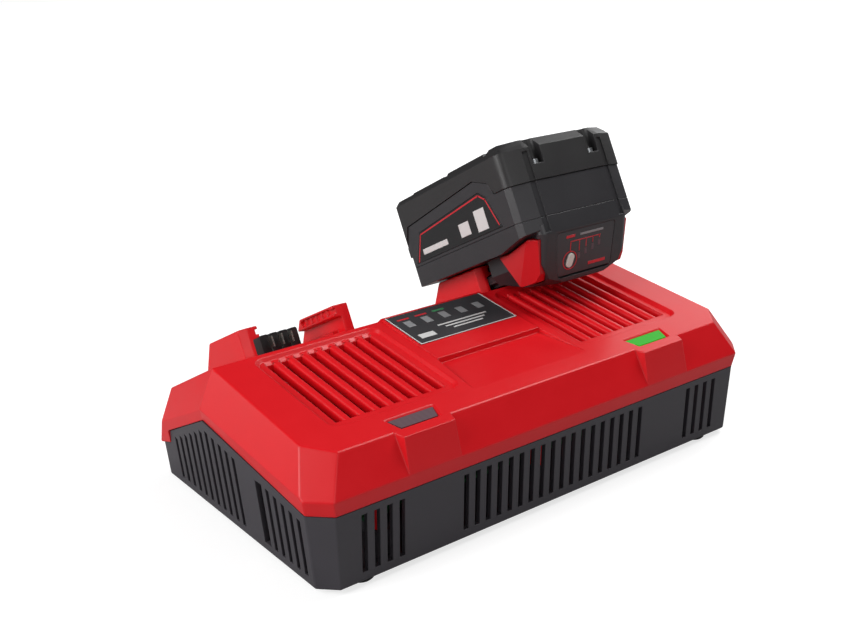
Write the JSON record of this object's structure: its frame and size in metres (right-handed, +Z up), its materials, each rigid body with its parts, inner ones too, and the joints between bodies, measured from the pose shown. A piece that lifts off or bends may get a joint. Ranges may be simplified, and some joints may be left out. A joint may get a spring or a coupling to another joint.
{
  "type": "power tool battery charger",
  "caption": "Two-bay mains charger for slide-on tool battery packs, with a sloping vented roof, rail docks and one pack docked in the right bay.",
  "frame": {"origin": "on the table, under the middle of the whole object's outline", "axes": "+X to the right along the housing, seen from the front; +Y to the back; +Z up"},
  "size_m": [0.2588, 0.1678, 0.1524],
  "materials": {
    "dark_shell": "fine moulded texture",
    "red_shell": "fine moulded texture",
    "rubber": "matte",
    "zinc_steel": "zinc plated",
    "plate_ink": "printed film",
    "smoke_lens": "clear, lightly smoked",
    "green_lens": "clear, lit from behind",
    "circuit_board": "solder mask",
    "black_plastic": "moulded",
    "tinned_contact": "tin plated",
    "ferrite": "ground",
    "yellow_tape": "polyester tape",
    "bare_aluminium": "extruded",
    "capacitor_sleeve": "shrink sleeve",
    "copper_wire": "enamelled",
    "relay_case": "moulded",
    "fuse_glass": "clear tube",
    "pack_plastic": "fine moulded texture",
    "pack_rubber": "matte overmould",
    "gauge_grey": "printed film",
    "cell_wrap": "shrink wrap",
    "holder_plastic": "moulded",
    "nickel": "rolled strip",
    "latch_red": "satin moulded",
    "spring_steel": "drawn wire"
  },
  "bodies": {
    "charger": {"lower_housing": "dark_shell", "upper_housing": "red_shell", "rubber_feet": "rubber", "housing_screws": "zinc_steel", "info_plate": "plate_ink", "led_lens_left": "smoke_lens", "led_lens_right": "green_lens", "led_board_left": "circuit_board", "led_board_right": "circuit_board", "terminal_block_left": "black_plastic", "terminal_block_right": "black_plastic", "contact_blades_left": "tinned_contact", "contact_blades_right": "tinned_contact", "main_board": "circuit_board", "board_screws": "zinc_steel", "transformer_core": "ferrite", "transformer_winding": "yellow_tape", "heat_sinks": "bare_aluminium", "power_transistors": "black_plastic", "bulk_capacitors": "capacitor_sleeve", "line_choke": "copper_wire", "relays": "relay_case", "fuse": "fuse_glass", "mains_inlet": "black_plastic", "fan_frame": "black_plastic"},
    "battery_pack": {"pack_rail_shell": "pack_plastic", "pack_case": "pack_plastic", "pack_cap": "pack_rubber", "pack_screws": "zinc_steel", "side_plate_left": "black_plastic", "side_plate_right": "black_plastic", "gauge_panel": "gauge_grey", "gauge_lights": "smoke_lens", "gauge_board": "circuit_board", "cells": "cell_wrap", "cell_holders": "holder_plastic", "cell_strips": "nickel", "pack_board": "circuit_board", "pack_terminals": "tinned_contact", "latch_spring_left": "spring_steel", "latch_spring_right": "spring_steel"},
    "latch_left": {"latch_left": "latch_red"},
    "latch_right": {"latch_right": "latch_red"},
    "gauge_button": {"gauge_button": "pack_rubber"},
    "fan_rotor": {"fan_rotor": "black_plastic"}
  },
  "joints": [
    {"name": "pack_slide", "type": "slide", "parent": "charger", "child": "battery_pack", "axis": [0, -0.8965, 0.4431], "range_m": [0, 0.045]},
    {"name": "latch_left_press", "type": "slide", "parent": "battery_pack", "child": "latch_left", "axis": [1, 0, 0], "range_m": [0, 0.004], "stiffness_N_per_m": 1500, "springref_m": -0.004, "deforming": ["latch_spring_left"]},
    {"name": "latch_right_press", "type": "slide", "parent": "battery_pack", "child": "latch_right", "axis": [-1, 0, 0], "range_m": [0, 0.004], "stiffness_N_per_m": 1500, "springref_m": -0.004, "deforming": ["latch_spring_right"]},
    {"name": "gauge_button_press", "type": "slide", "parent": "battery_pack", "child": "gauge_button", "axis": [0, 0.9982, 0.0601], "range_m": [0, 0.0008], "stiffness_N_per_m": 1500, "springref_m": -0.001},
    {"name": "fan_spin", "type": "hinge", "parent": "charger", "child": "fan_rotor", "pos_m": [-0.11, 0.00095, 0.033], "axis": [1, 0, 0], "continuous": true}
  ]
}
